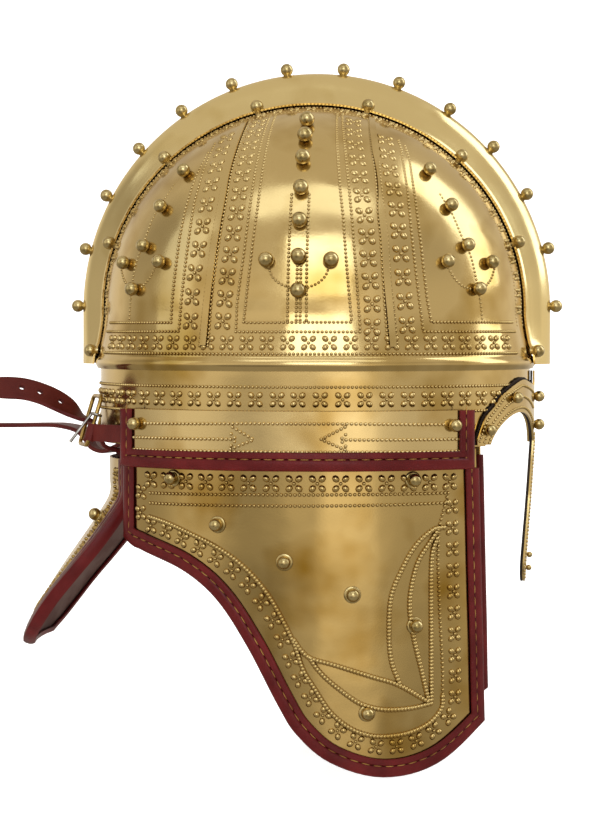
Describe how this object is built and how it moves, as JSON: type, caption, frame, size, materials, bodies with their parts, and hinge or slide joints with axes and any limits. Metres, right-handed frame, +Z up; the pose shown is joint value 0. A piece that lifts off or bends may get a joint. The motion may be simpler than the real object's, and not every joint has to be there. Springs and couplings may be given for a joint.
{
  "type": "roman cavalry helmet",
  "caption": "Brass-sheathed ridge helmet with nasal, eye arches, leather-edged cheek pieces hung on leather hinges, flared neck guard, and buckled neck straps.",
  "frame": {"origin": "middle of the head opening, level with the lower edge of the brow band, where the helmet sits on a head", "axes": "+X forwards over the nasal, +Y to the wearer's left, +Z up to the crest"},
  "size_m": [0.3279, 0.2092, 0.3691],
  "materials": {
    "brass": "embossed sheet brass, polished and lightly tarnished",
    "dark_brass": "drawn brass wire, dulled",
    "red_leather": "thin dyed edging leather, smooth, stitched with golden thread",
    "strap_leather": "dyed strap leather, smooth",
    "brown_leather": "brown suede side of lining leather",
    "dark_leather": "dark lining leather with a ragged edge"
  },
  "bodies": {
    "root": {"bowl_right": "brass", "bowl_left": "brass", "ridge": "brass", "crest_stud_01": "brass", "crest_stud_02": "brass", "crest_stud_03": "brass", "crest_stud_04": "brass", "crest_stud_05": "brass", "crest_stud_06": "brass", "crest_stud_07": "brass", "crest_stud_08": "brass", "crest_stud_09": "brass", "crest_stud_10": "brass", "crest_stud_11": "brass", "crest_stud_12": "brass", "crest_stud_13": "brass", "crest_stud_14": "brass", "brow_band": "brass", "brow_guard": "brass", "hinge_plate_right": "brass", "hinge_plate_left": "brass", "cheek_right": "brass", "cheek_left": "brass", "neck_guard": "brass", "buckle_frame_right": "dark_brass", "buckle_frame_left": "dark_brass", "buckle_prong_right": "dark_brass", "buckle_prong_left": "dark_brass", "plate_edging_right": "red_leather", "plate_edging_left": "red_leather", "cheek_edging_right": "red_leather", "cheek_edging_left": "red_leather", "neck_edging": "red_leather", "tail_strap_right": "strap_leather", "tail_strap_left": "strap_leather", "buckle_strap_right": "strap_leather", "buckle_strap_left": "strap_leather", "cheek_hinge_right": "brown_leather", "cheek_hinge_left": "brown_leather", "neck_lining": "brown_leather", "brow_guard_lining": "dark_leather"}
  },
  "joints": []
}
